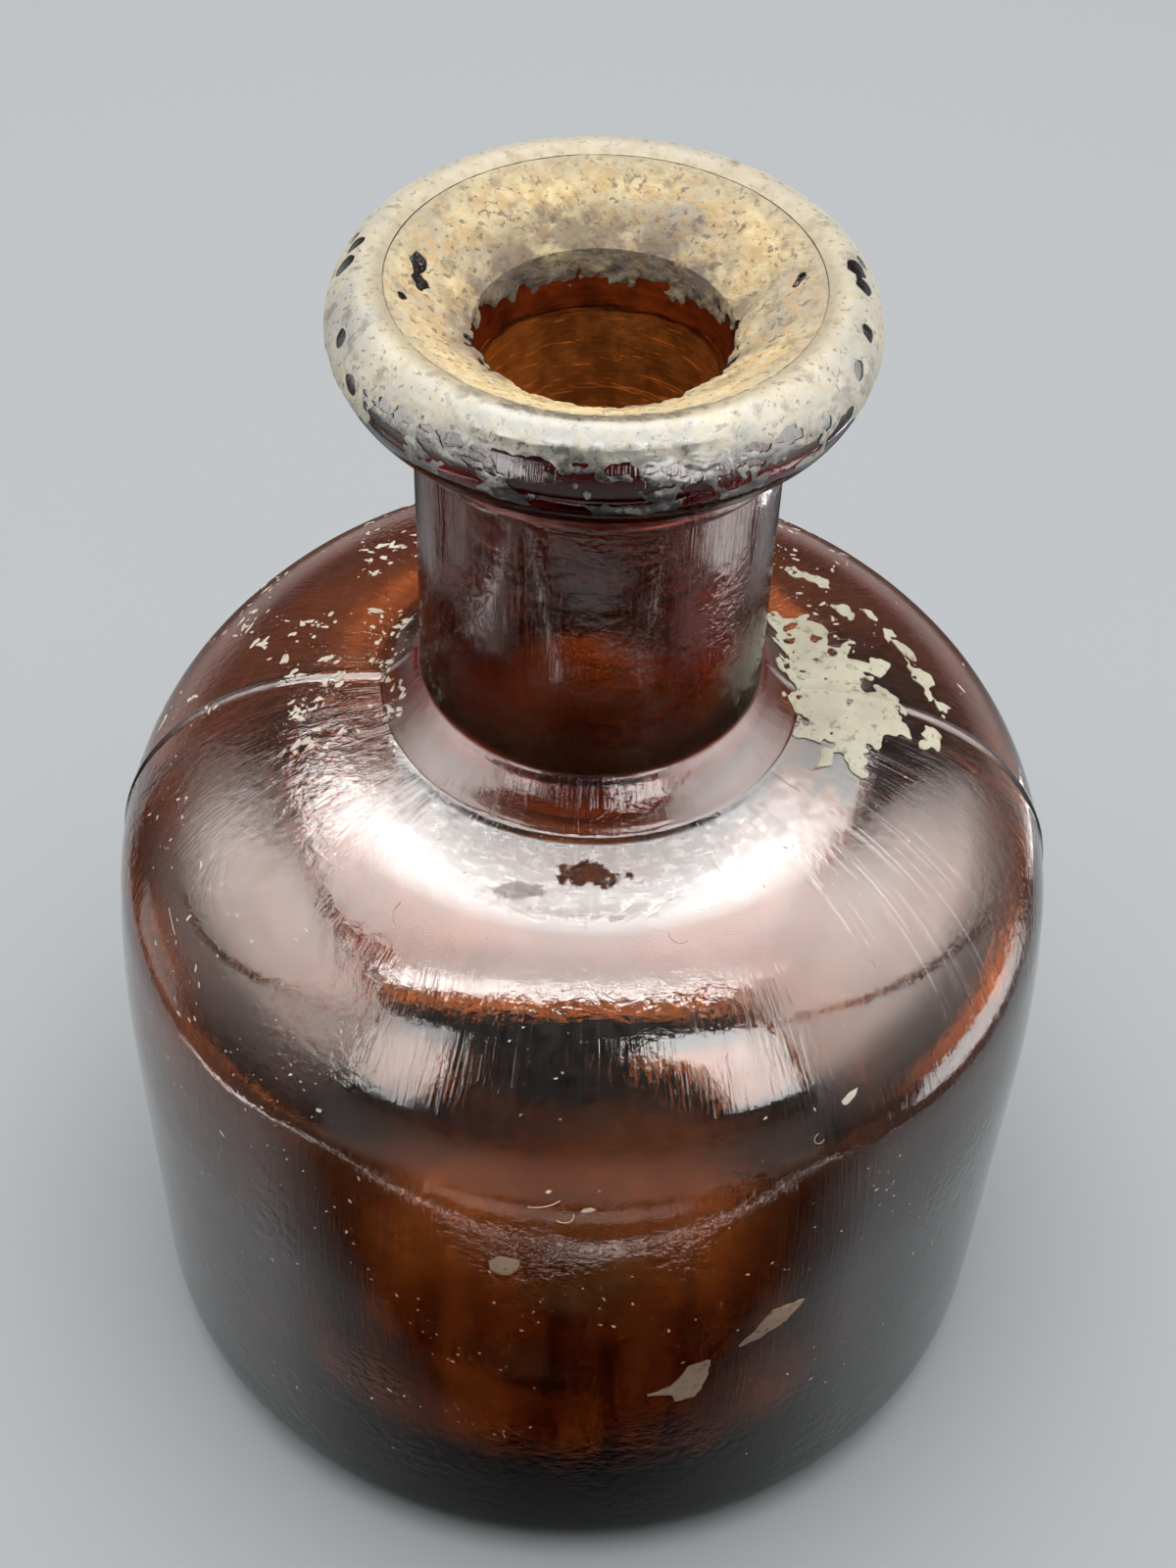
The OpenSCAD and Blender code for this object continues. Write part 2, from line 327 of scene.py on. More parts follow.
def addNode(tree, kind, sockets=None, **settings):
    node = tree.nodes.new(kind)
    for key, value in settings.items():
        setattr(node, key, value)
    return setSockets(node, sockets or {})


def newGroup(name, inputs, outputs):
    tree = bpy.data.node_groups.new(name, "ShaderNodeTree")
    sockets = tree.interface
    for label, value in inputs.items():
        sockets.new_socket(label, in_out="INPUT", socket_type="NodeSocketFloat").default_value = value
    for label in outputs:
        sockets.new_socket(label, in_out="OUTPUT", socket_type="NodeSocketFloat")
    return tree, tree.nodes.new("NodeGroupInput").outputs, tree.nodes.new("NodeGroupOutput")


def useGroup(tree, group, **sockets):
    return addNode(tree, "ShaderNodeGroup", sockets, node_tree=group).outputs


# The helpers from here on find the node tree through the socket that they get
def treeOf(*values):
    return next(value.id_data for value in values if isinstance(value, bpy.types.NodeSocket))


def mixColours(factor, first, second, blend="MIX"):
    sockets = {0: factor, 6: first, 7: second}
    return addNode(factor.id_data, "ShaderNodeMix", sockets, data_type="RGBA", blend_type=blend).outputs[2]


def maths(operation, *values):
    sockets = dict(enumerate(values))
    return addNode(treeOf(*values), "ShaderNodeMath", sockets, operation=operation).outputs[0]


def times(first, second):
    return maths("MULTIPLY", first, second)


def larger(first, second):
    return maths("MAXIMUM", first, second)


def plus(first, second):
    return maths("ADD", first, second)


def oneMinus(value):
    return maths("SUBTRACT", 1.0, value)


def ranged(value, fromMin, fromMax, toMin=0.0, toMax=1.0):
    sockets = {"Value": value, "From Min": fromMin, "From Max": fromMax, "To Min": toMin, "To Max": toMax}
    return addNode(value.id_data, "ShaderNodeMapRange", sockets).outputs["Result"]


def vectorMaths(operation, *values):
    node = addNode(treeOf(*values), "ShaderNodeVectorMath", dict(enumerate(values)), operation=operation)
    return node.outputs["Value" if operation == "LENGTH" else 0]


def objectPlace(tree):
    return addNode(tree, "ShaderNodeTexCoord").outputs["Object"]


def partsOf(vector):
    return addNode(vector.id_data, "ShaderNodeSeparateXYZ", {0: vector}).outputs


def axisDistance(where):
    return vectorMaths("LENGTH", vectorMaths("MULTIPLY", where, (1, 1, 0)))


def rgb(hexText):
    parts = [int(hexText[i:i + 2], 16) / 255 for i in (0, 2, 4)]
    return tuple(p / 12.92 if p <= 0.04045 else ((p + 0.055) / 1.055) ** 2.4 for p in parts) + (1,)


# Cloudy patches: a mask that rises from 0 to 1 between two levels of a noise
def blotchGroup():
    tree, into, out = newGroup("blotches", {"Size": 100, "Low": 0.45, "High": 0.6, "Detail": 4,
                                            "Shift": 0}, ["Mask"])
    moved = vectorMaths("ADD", objectPlace(tree), into["Shift"])
    cloud = addNode(tree, "ShaderNodeTexNoise", {"Vector": moved, "Scale": into["Size"],
                                                 "Detail": into["Detail"], "Roughness": 0.6})
    setSockets(out, {"Mask": ranged(cloud.outputs["Fac"], into["Low"], into["High"])})
    return tree


# Fine scratches that run from the neck outwards and down the wall
def scratchGroup():
    tree, into, out = newGroup("scratches", {"Count": 90, "Length": 60, "Low": 0.55, "High": 0.7}, ["Mask"])
    where = objectPlace(tree)
    parts = partsOf(where)
    turn = maths("ARCTAN2", parts["Y"], parts["X"])
    along = maths("SUBTRACT", axisDistance(where), parts["Z"])
    vector = addNode(tree, "ShaderNodeCombineXYZ", {"X": times(turn, into["Count"]),
                                                    "Y": times(along, into["Length"])}).outputs[0]
    lines = addNode(tree, "ShaderNodeTexNoise", {"Vector": vector, "Scale": 1, "Detail": 3})
    setSockets(out, {"Mask": ranged(lines.outputs["Fac"], into["Low"], into["High"])})
    return tree


# A mask that rises with height, and one that falls with distance from the axis. Levels in metres
def zoneGroup():
    tree, into, out = newGroup("zones", {"Low": 0, "High": 0.1, "Inner": 0.02, "Outer": 0.03},
                               ["Above", "Near"])
    where = objectPlace(tree)
    setSockets(out, {
        "Above": ranged(partsOf(where)["Z"], into["Low"], into["High"]),
        "Near": ranged(axisDistance(where), into["Outer"], into["Inner"])})
    return tree


# A soft round spot at one place on the surface, ragged at its edge
def spotGroup():
    tree, into, out = newGroup("spots", {"X": 0, "Y": 0, "Z": 0, "Radius": 0.005, "Stretch": 1,
                                         "Ragged": 0.4, "Soft": 0.2}, ["Mask"])
    where = objectPlace(tree)
    middle = addNode(tree, "ShaderNodeCombineXYZ", {k: into[k] for k in "XYZ"}).outputs[0]
    parts = partsOf(vectorMaths("SUBTRACT", where, middle))
    wide = maths("DIVIDE", parts["X"], into["Stretch"])
    shaped = addNode(tree, "ShaderNodeCombineXYZ", {"X": wide, "Y": parts["Y"], "Z": parts["Z"]})
    away = vectorMaths("LENGTH", shaped.outputs[0])
    rough = addNode(tree, "ShaderNodeTexNoise", {"Vector": where, "Scale": 900, "Detail": 3})
    bent = times(maths("SUBTRACT", rough.outputs["Fac"], 0.5), into["Ragged"])
    share = plus(maths("DIVIDE", away, into["Radius"]), bent)
    setSockets(out, {"Mask": ranged(share, 1.0, oneMinus(into["Soft"]))})
    return tree


blotches = blotchGroup()
scratches = scratchGroup()
zones = zoneGroup()
spots = spotGroup()


# Masks from the groups, with the values that a material's dictionary holds
def cloudMask(tree, size, low, high, detail=4, shift=0):
    return useGroup(tree, blotches, Size=size, Low=low, High=high, Detail=detail, Shift=shift)[0]


def lineMask(tree, count, length, low, high):
    return useGroup(tree, scratches, Count=count, Length=length, Low=low, High=high)[0]


def placeMask(tree, x, y, z, radius, stretch, ragged, soft=0.2):
    return useGroup(tree, spots, X=x * mm, Y=y * mm, Z=z * mm, Radius=radius * mm, Stretch=stretch,
                    Ragged=ragged, Soft=soft)[0]


def masksOf(tree, maker, look, keys):
    return [maker(tree, *look[key]) for key in keys.split()]


def nearMask(tree, inner, outer):
    return useGroup(tree, zones, Inner=inner * mm, Outer=outer * mm)["Near"]


def aboveMask(tree, low, high):
    return useGroup(tree, zones, Low=low * mm, High=high * mm)["Above"]


def newMaterial(name):
    material = bpy.data.materials.new(name)
    material.use_nodes = True
    tree = material.node_tree
    return material, tree, tree.nodes["Principled BSDF"], tree.nodes["Material Output"]


# Two colours in clouds, and further layers over them, each with its share of cover
def paintColour(look, clouds, layers):
    colour = mixColours(clouds, look["pale"], look["grey"])
    for (coating, mask), share in zip(layers, look["shares"]):
        colour = mixColours(times(mask, share), colour, look[coating])
    return colour


def bumpFrom(height, strength, depth):
    sockets = {"Height": height, "Strength": strength, "Distance": depth * mm}
    return addNode(height.id_data, "ShaderNodeBump", sockets).outputs[0]


# Clouds: size, low, high, detail, shift. Lines: count, length, low, high.
# Places: x, y, z and radius in mm, stretch along X, raggedness, softness. Zones: two levels or radii in mm
amberGlass = {
    "ior": 1.52, "passRed": 0.76, "passGreen": 0.44, "passBlue": 0.22, "passDepth": 3.5 * mm,
    "filmRoughness": 0.58, "filmIor": 2.7, "crownFilm": 1.0, "shoulderFilm": 0.05, "wallFilm": 0.12,
    "mist": 0.16, "rub": 0.36, "filmLeast": 0.7, "greyShare": 0.6,
    "clearTint": (0.95, 0.9, 0.86, 1), "dirtTint": (0.6, 0.48, 0.4, 1), "dirtShare": 0.6,
    "seatResidueAndShadeTint": (0.28, 0.13, 0.04, 1), "crustTint": (0.07, 0.03, 0.01, 1),
    # The wall tint darkens the glass below the shoulder: painted shade, along with a film inside
    "wallFilmAndShadeTint": (0.42, 0.4, 0.38, 1), "streakTint": (0.14, 0.11, 0.1, 1),
    "grainShare": 0.8, "fineShare": 0.7, "streakGrain": (0.2, 0.7, 0.4, 1.0), "thinMarks": (0, 2, 0.1, 1.0),
    "wear": 1.0, "bumpDepth": 0.007, "crinkle": (0.8, 5.0), "ringBump": 0.4, "turningBump": 8.0,
    "gloss": (0.03, 0.08), "crownRoughness": 0.3, "seatRoughness": 0.2,
    "clouds": (130, 0.4, 0.62), "grain": (760, 0.36, 0.64, 3), "crinkles": (60, 0.5, 0.65, 1, 2),
    "crusted": (330, 0.4, 0.6, 4, 4),
    "fine": (150, 140, 0.5, 0.7), "long": (120, 35, 0.58, 0.72), "drips": (11, 22, 0.4, 0.62),
    "ringed": (14, 1500, 0.5, 0.6), "rubbed": (170, 22, 0.57, 0.64), "turning": (2, 700, 0.4, 0.6),
    "crinkledPlace": (-28, -14, 87, 14, 0.9, 0.6, 0.6), "frontPlace": (0, -25, 89, 17, 2.0, 0.8, 0.5),
    "rubbedPlace": (30, -17, 85, 17, 1.0, 0.8, 0.6), "mistyPlace": (-35, -17, 84, 9, 0.8, 1.2, 0.9),
    "barePlace": (0.7, -24.9, 89.3, 1.35, 2.6, 2.4), "greyPlace": (-5.9, -26.8, 88.9, 0.8, 3.4, 1.8),
    "wallLevels": (50, 68), "filmReach": (27.5, 31.2), "neckLevels": (100, 90), "neckReach": (21.6, 21.2),
    "seatLevels": (111, 112.5), "seatReach": (12.1, 12.4),
}


# Colour that deepens with the thickness of the glass
def absorb(tree, look):
    losses = [-math.log(look[key]) / look["passDepth"] for key in ("passRed", "passGreen", "passBlue")]
    density = max(losses) * 1.01
    colour = tuple(1 - loss / density for loss in losses) + (1,)
    return addNode(tree, "ShaderNodeVolumeAbsorption", {"Color": colour, "Density": density}).outputs[0]


def glassMaterial(name, look):
    material, tree, shader, output = newMaterial(name)
    dirty, grain, crinkles, crusted = masksOf(tree, cloudMask, look, "clouds grain crinkles crusted")
    fine, long, drips, ringed, rubbed, turning = masksOf(
        tree, lineMask, look, "fine long drips ringed rubbed turning")
    crinkled, front, side, misty, bare, greyish = masksOf(
        tree, placeMask, look, "crinkledPlace frontPlace rubbedPlace mistyPlace barePlace greyPlace")
    aboveWall = aboveMask(tree, *look["wallLevels"])
    offNeck = times(nearMask(tree, *look["neckReach"]), aboveMask(tree, *look["neckLevels"]))
    onSeat = times(aboveMask(tree, *look["seatLevels"]), nearMask(tree, *look["seatReach"]))
    marks = larger(fine, times(grain, look["grainShare"]))
    # The worn film: strong on the front of the crown, rubbed and misty at the sides, thin elsewhere
    streaks = larger(ringed, times(fine, look["fineShare"]))
    streaks = times(streaks, ranged(grain, *look["streakGrain"]))
    strong = times(nearMask(tree, *look["filmReach"]), ranged(streaks, 0, 1, look["filmLeast"], 1))
    strong = times(times(times(strong, look["crownFilm"]), offNeck), front)
    strong = larger(strong, times(times(rubbed, side), look["rub"]))
    strong = larger(strong, times(misty, look["mist"]))
    thin = times(ranged(plus(long, marks), *look["thinMarks"]), look["shoulderFilm"])
    film = times(larger(strong, thin), ranged(aboveWall, 0, 1, look["wallFilm"], 1))
    worn = larger(bare, times(greyish, look["greyShare"]))
    film = times(times(film, offNeck), oneMinus(worn))
    direct = addNode(tree, "ShaderNodeLightPath").outputs["Is Camera Ray"]
    # Colour: low on the wall the glass is tinted grey with dark streaks, painted shade for the dark seen
    # through the body along with a film inside; dirt in clouds; brown crust with painted shade on the
    # ground seat
    low = mixColours(drips, look["wallFilmAndShadeTint"], look["streakTint"])
    tint = mixColours(aboveWall, low, look["clearTint"])
    tint = mixColours(times(dirty, look["dirtShare"]), tint, look["dirtTint"], "MULTIPLY")
    # The ground seat inside the bore is tinted dark brown: its residue, and painted shade inside the bore
    ground = mixColours(crusted, look["seatResidueAndShadeTint"], look["crustTint"])
    gloss = ranged(marks, 0, 1, *look["gloss"])
    gloss = larger(gloss, times(strong, look["crownRoughness"]))
    crinkle = ranged(larger(crinkled, crinkles), 0, 1, *look["crinkle"])
    height = plus(fine, plus(times(grain, crinkle), long))
    height = plus(height, times(times(ringed, front), look["ringBump"]))
    height = plus(height, times(times(turning, onSeat), look["turningBump"]))
    setSockets(shader, {
        "Base Color": mixColours(onSeat, tint, ground), "IOR": look["ior"], "Transmission Weight": 1,
        "Roughness": larger(gloss, times(onSeat, look["seatRoughness"])),
        "Coat Weight": times(film, direct), "Coat Roughness": look["filmRoughness"],
        "Coat IOR": look["filmIor"], "Normal": bumpFrom(height, look["wear"], look["bumpDepth"])})
    setSockets(output, {"Volume": absorb(tree, look)})
    return material


lipGlass = dict(amberGlass, passRed=0.4, passGreen=0.08, passBlue=0.05, crownFilm=0, shoulderFilm=0,
                mist=0, rub=0)

lipPaint = {"pale": rgb("aea58f"), "grey": rgb("8f8d84"), "ochre": rgb("94804f"), "dirt": rgb("2e2620"),
            "front": rgb("66665c"), "black": rgb("1a1513"), "rim": rgb("8f7d5a"),
            "matt": (0.55, 0.75), "rubbed": (0.22, 0.42), "clouds": (110, 0.35, 0.65),
            "grain": (900, 0.45, 0.7), "dirty": (420, 0.56, 0.66, 4, 3), "specks": (1500, 0.6, 0.66, 2, 7),
            "patches": (240, 0.3, 0.7, 4, 17), "blackened": (520, 0.43, 0.48, 5, 13),
            "frontPlace": (0, -23, 130, 12, 3.0, 1.2, 0.35), "shinePlace": (0, -21, 136, 7, 2.6, 1.0, 0.5),
            "lowHalf": (136.6, 135.2), "rimReach": (19.2, 21.2), "underShare": 0.3,
            "shares": (0.5, 0.85, 0.7, 0.8, 0.6), "specular": 0.6, "bump": (0.4, 0.05)}


def lipPaintMaterial():
    material, tree, shader, _ = newMaterial("greyPaint")
    clouds, grain, dirty, specks, patches, blackened = masksOf(
        tree, cloudMask, lipPaint, "clouds grain dirty specks patches blackened")
    # The lower front of the bead turns darker grey with black patches: thin paint over the dark glass, and
    # painted shade on its lower part
    front, shine = masksOf(tree, placeMask, lipPaint, "frontPlace shinePlace")
    under = times(patches, lipPaint["underShare"])
    front = times(front, larger(aboveMask(tree, *lipPaint["lowHalf"]), under))
    rim = nearMask(tree, *lipPaint["rimReach"])
    colour = paintColour(lipPaint, clouds, (
        ("ochre", grain), ("front", front), ("dirt", dirty), ("dirt", specks), ("rim", rim)))
    colour = mixColours(times(blackened, front), colour, lipPaint["black"])
    matt, rubbed = [ranged(grain, 0, 1, *lipPaint[key]) for key in ("matt", "rubbed")]
    setSockets(shader, {
        "Base Color": colour, "Roughness": mixColours(shine, matt, rubbed),
        "Specular IOR Level": lipPaint["specular"], "Normal": bumpFrom(grain, *lipPaint["bump"])})
    return material


crustPaint = {"pale": rgb("e0c88c"), "sand": rgb("b58d48"), "grey": rgb("9f927a"), "dirt": rgb("4a3620"),
              "throat": rgb("3e2c22"), "clouds": (90, 0.35, 0.65), "grain": (700, 0.42, 0.62),
              "dirty": (500, 0.55, 0.68, 4, 5), "specks": (1300, 0.58, 0.66, 2, 9),
              "ragged": (260, 0.36, 0.58, 4, 11), "backPlace": (-3, 12.4, 133.6, 3.2, 2.4, 1.6, 0.6),
              "throatReach": (12.2, 16), "rimReach": (16.5, 19), "backShare": 0.9,
              "shares": (0.75, 0.6, 0.8, 0.85, 0.65), "roughness": 0.85, "bump": (0.8, 0.12)}


def crustMaterial():
    material, tree, shader, _ = newMaterial("sandyCrust")
    clouds, grain, dirty, specks, ragged = masksOf(
        tree, cloudMask, crustPaint, "clouds grain dirty specks ragged")
    back = placeMask(tree, *crustPaint["backPlace"])
    worn = larger(times(nearMask(tree, *crustPaint["throatReach"]), ragged),
                  times(back, crustPaint["backShare"]))
    outside = oneMinus(nearMask(tree, *crustPaint["rimReach"]))
    colour = paintColour(crustPaint, clouds, (
        ("sand", grain), ("dirt", dirty), ("dirt", specks), ("throat", worn), ("grey", outside)))
    setSockets(shader, {"Base Color": colour, "Roughness": crustPaint["roughness"],
                        "Normal": bumpFrom(grain, *crustPaint["bump"])})
    return material


# The other paints and the dust, which differ in their three colours alone
patchPaint = {"clouds": (160, 0.35, 0.65), "specks": (900, 0.56, 0.66), "shares": (0.7,),
              "roughness": 0.75, "bump": (0.5, 0.05),
              "creamPaint": ("c9c2a6", "a9a086", "5f5138"), "tanPaint": ("9c7c5c", "6f5444", "3c2a20"),
              "paleDust": ("e2d6c2", "b5a58e", "857460")}


def patchMaterial(name):
    material, tree, shader, _ = newMaterial(name)
    look = dict(patchPaint, **dict(zip(("pale", "grey", "dirt"), map(rgb, patchPaint[name]))))
    clouds, specks = masksOf(tree, cloudMask, look, "clouds specks")
    setSockets(shader, {"Base Color": paintColour(look, clouds, [("dirt", specks)]),
                        "Roughness": look["roughness"], "Normal": bumpFrom(specks, *look["bump"])})
    return material


# The glass vessel

vessel = {"segments": 300, "seamTurnsDeg": (0.15, 0.35, 0.6, 0.9, 1.3, 1.8),
          "baseStepDeg": 1, "bendStepDeg": 6, "wallStep": 2, "crownStep": 1.2, "neckStep": 1.5,
          "funnelStep": 1}


def vesselAngles():
    turns = list(np.linspace(0, 360, vessel["segments"], endpoint=False))
    for side in (0, 180):
        turns += [side + sign * extra for extra in vessel["seamTurnsDeg"] for sign in (-1, 1)]
    return np.radians(np.array(sorted(set(round(t % 360, 4) for t in turns))))


def makeVessel(material):
    grooveIn = tuple(joint - bottle["jointWidth"] / 2 * funnelDir)
    seatLowZ, innerR = seatTopZ - bottle["seatLength"], bodyR - bottle["wall"]
    corner = (floorEdgeR, floorEdgeZ + bottle["floorCorner"])
    baseStep, bendStep, wallStep = vessel["baseStepDeg"], vessel["bendStepDeg"], vessel["wallStep"]
    neckStep = vessel["neckStep"]
    hollowEnd, floorEnd = [math.degrees(math.acos(cosine))
                           for cosine in (footInR / hollowR, floorEdgeR / floorBallR)]
    hollow = arc(hollowMid, hollowR, 90, hollowEnd, baseStep)
    outside = (hollow + arc((footOutR, bottle["heel"]), bottle["heel"], -90, 0, bendStep)
               + divided([(bodyR, bottle["heel"]), (bodyR, blendMid[1])], wallStep)[1:-1] + shoulderLine()
               + divided([shoulderLine()[-1], rootLine()[0]], vessel["crownStep"])[1:-1] + rootLine()
               + divided([(neckR, rootMid[1]), (neckR, bandLowZ)], neckStep)[1:-1]
               + [(neckR, bandLowZ), (neckR, flareLowZ), (jointR, jointZ - bottle["jointDepth"]), grooveIn])
    funnel = divided([grooveIn, (throatR, seatTopZ)], vessel["funnelStep"])[1:]
    inside = (funnel + divided([(throatR, seatTopZ), (boreR, seatLowZ)], neckStep)[1:]
              + divided([(boreR, seatLowZ), (boreR, boreRootMid[1])], neckStep)[1:-1]
              + arc(boreRootMid, boreRootR, 180, 270 - bottle["crownSlope"], bendStep)
              + shoulderLine(-bottle["wall"])[::-1]
              + divided([(innerR, blendMid[1]), (innerR, corner[1])], wallStep)[1:-1]
              + arc(corner, bottle["floorCorner"], 0, -90, bendStep)
              + arc(hollowMid, floorBallR, floorEnd, 90, baseStep)[1:])
    still = len(hollow) - 1
    waves = ([None] * still + [outerWave] * (len(outside) - still) + [None] * len(funnel)
             + [innerWave] * (len(inside) - len(funnel)))
    line = outside + inside
    line[0], line[-1] = (0, line[0][1]), (0, line[-1][1])
    made = turned("glassVessel", line, vesselAngles(), waves, material)
    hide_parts("bottle_body")
    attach(made, "root")


# The applied lip

lipRing = {"segments": 300, "clear": 0.04, "wave": 0.05, "waveSize": 9, "edgeStepDeg": 15, "bandStep": 1,
           "filletStepDeg": 12}


def lipWave(points):
    return lipRing["wave"] * noiseAt(points, lipRing["waveSize"], 5)


def makeLip(material):
    fillet = bottle["bandFillet"]
    filletX = bandR + fillet
    filletZ = beadMid[1] - math.sqrt((beadR + fillet) ** 2 - (filletX - beadMid[0]) ** 2)
    filletDeg = math.degrees(math.atan2(beadMid[1] - filletZ, beadMid[0] - filletX))
    edge = bottle["bandEdge"]
    clear = lipRing["clear"]
    outside = (arc((bandR - edge, bandLowZ + edge), edge, -90, 0, lipRing["edgeStepDeg"])
               + divided([(bandR, bandLowZ + edge), (bandR, filletZ)], lipRing["bandStep"])[1:-1]
               + arc((filletX, filletZ), fillet, 180, filletDeg, lipRing["filletStepDeg"])
               + crestLine(filletDeg - 180, bottle["jointWidth"] / 2)[1:])
    inside = [(jointR + clear, jointZ - bottle["jointDepth"]), (neckR + clear, flareLowZ + clear),
              (neckR + clear, bandLowZ)]
    waves = [lipWave] * len(outside) + [None] * len(inside)
    angles = np.radians(np.linspace(0, 360, lipRing["segments"], endpoint=False))
    made = turned("lipRing", outside + inside, angles, waves, material, closed=True)
    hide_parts("applied_lip")
    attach(made, "root")


# The paint on the lip. Chips: degrees round from +X, angle round the bead, radius in mm

lipCoat = {"gap": 0.28, "thick": 0.2, "jointGap": 0.05, "lowDeg": -26, "edgeDeg": -4, "frontLowerDeg": 13,
           "backHigherDeg": 8, "ragged": 0.8, "chipRagged": 0.45, "wornSides": (0.35, 0.75),
           "wornFromDeg": (-16, 2), "wornToDeg": (26, 42), "worn": 0.45, "wornClouds": 0.35, "speckle": 0.9,
           "chips": [(171, 50, 0.9), (177, 44, 1.2), (166, 40, 0.7), (-160, 30, 0.8), (-150, 12, 0.9),
                     (7, 55, 1.1), (1, 50, 1.0), (12, 42, 0.8), (-13, 40, 0.9), (-24, 30, 0.7),
                     (-33, -12, 2.2), (-52, -10, 1.5), (-70, -12, 1.8), (-97, -12, 2.4), (-118, -10, 1.9),
                     (-138, -12, 2.3), (-86, 6, 1.3), (-103, 12, 1.5), (-64, 10, 1.1)]}


def beadAngles(at):
    away = np.hypot(at[..., 0], at[..., 1])
    return np.degrees(np.arctan2(at[..., 2] - beadMid[1], away - beadMid[0]))


def azimuths(at):
    return np.degrees(np.arctan2(at[..., 1], at[..., 0]))


# The cover less a round ragged spot
def chipped(cover, at, middle, radius):
    return np.minimum(cover, np.linalg.norm(at - middle, axis=-1) - radius)


def lipCover(at):
    bead = beadAngles(at)
    ragged = roughAt(at, 2.2, 0.9, 6)
    frontness = np.clip(-np.sin(np.radians(azimuths(at))), -1, 1)
    low = (lipCoat["edgeDeg"] - lipCoat["frontLowerDeg"] * np.clip(frontness, 0, 1)
           + lipCoat["backHigherDeg"] * np.clip(-frontness, 0, 1))
    cover = (bead - low) * math.radians(1) * beadR + lipCoat["ragged"] * ragged
    for turn, angle, radius in lipCoat["chips"]:
        across, up = polar(beadR, angle)
        middle = (*polar(beadMid[0] + across, turn), beadMid[1] + up)
        cover = chipped(cover, at, middle, radius * (1 + lipCoat["chipRagged"] * ragged))
    front = smooth(*lipCoat["wornSides"], frontness) * smooth(*lipCoat["wornFromDeg"], bead)
    front *= 1 - smooth(*lipCoat["wornToDeg"], bead)
    speckle = noiseAt(at * (0.6, 0.6, 1.4), 1.0, 8) + 0.6 * noiseAt(at, 0.6, 9)
    worn = 0.5 - front * (lipCoat["worn"] + lipCoat["wornClouds"] * noiseAt(at, 5, 10))
    worn -= lipCoat["speckle"] * speckle * front
    return np.minimum(cover, np.where(front > 0.02, worn, 1))


def lipThick(at, value):
    grain = 0.03 * noiseAt(at, 0.8, 11) + 0.03 * noiseAt(at, 3, 12)
    return lipCoat["thick"] * (0.35 + 0.65 * smooth(0, 0.8, value)) + grain


def makeLipPaint(material):
    line = crestLine(lipCoat["lowDeg"], lipCoat["jointGap"])
    made = coat("lipPaint", line, lipCoat["gap"], lipCover, lipThick, material, waveOf=lipWave)
    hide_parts("lip_paint")
    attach(made, "root")


# The crust in the mouth. Bare spots: degrees round from +X, share of the way up the funnel, radius in mm

mouthCoat = {"gap": 0.28, "thick": 0.28, "jointGap": 0.05, "reach": 5,
             "drop": 2.2, "frontDrop": 0.1, "backDrop": 1.25, "backFrom": (-0.2, 0.9), "ragged": 1.6,
             "bareSize": 0.8, "bareRagged": 0.9,
             "bare": [(166, 0.68, 1.3), (176, 0.55, 0.9), (187, 0.77, 0.7), (10, 0.74, 0.9)]}


def crustCover(at):
    ragged = roughAt(at, 1.8, 0.7, 13)
    back = smooth(*mouthCoat["backFrom"], at[..., 1] / throatR)
    drop = mouthCoat["drop"] * (mouthCoat["frontDrop"] + mouthCoat["backDrop"] * back)
    cover = at[..., 2] - seatTopZ + drop + mouthCoat["ragged"] * ragged
    for turn, share, radius in mouthCoat["bare"]:
        r, z = throatR + share * (jointR - throatR), seatTopZ + share * bottle["funnelDepth"]
        bare = radius * (mouthCoat["bareSize"] + mouthCoat["bareRagged"] * ragged)
        cover = chipped(cover, at, (*polar(r, turn), z), bare)
    return cover


def crustThick(at, value):
    grains = 0.1 * noiseAt(at, 0.55, 15) + 0.1 * noiseAt(at, 1.2, 16)
    return mouthCoat["thick"] * (0.4 + 0.6 * smooth(0, 0.8, value)) + grains


def makeCrust(material):
    low = mouthCoat["reach"]
    line = [tuple(joint - mouthCoat["jointGap"] * funnelDir), (throatR, seatTopZ),
            (throatR - bottle["seatTaper"] * low / 2, seatTopZ - low)]
    made = coat("mouthCrust", line, mouthCoat["gap"], crustCover, crustThick, material, waveOf=None)
    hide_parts("mouth_crust")
    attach(made, "root")


# What is left of the paint on the shoulder. Outlines: share of the way from neck to wall, degrees round

shoulderCoat = {
    "gap": 0.3, "thick": 0.2, "spanDeg": (-30, 52), "ragged": 0.9, "holes": 0.9, "fewHoles": 0.26,
    "outlines": [
        [(0.1, 29), (0.17, 33), (0.16, 28), (0.24, 27), (0.27, 22), (0.26, 17), (0.33, 17), (0.3, 12),
         (0.42, 11), (0.37, 5), (0.44, 2), (0.42, -4), (0.46, -7), (0.38, -9), (0.4, -13), (0.34, -16),
         (0.36, -22), (0.28, -20), (0.25, -25), (0.19, -17), (0.12, -16), (0.14, -9), (0.06, -6), (0.1, 0),
         (0.04, 6), (0.09, 13), (0.05, 17), (0.11, 21)],
        [(0.47, 22), (0.51, 19), (0.53, 13), (0.58, 11), (0.55, 6), (0.63, 5), (0.57, 1), (0.52, 6),
         (0.49, 9), (0.5, 14), (0.46, 18)],
        [(0.48, -4), (0.53, -2), (0.57, -3), (0.56, -6), (0.51, -8), (0.49, -7)],
        [(0.27, 50), (0.3, 46), (0.36, 43), (0.42, 35), (0.41, 31), (0.36, 35), (0.31, 41)],
        [(0.34, 29), (0.38, 28), (0.4, 23), (0.36, 24)],
        [(0.45, 27), (0.48, 25), (0.47, 23), (0.44, 24)]],
}


# Distance in from the edge of the nearest outline, negative outside it
def deepest(px, py, outlines):
    return np.max([insideDepth(px, py, outline) for outline in outlines], axis=0)


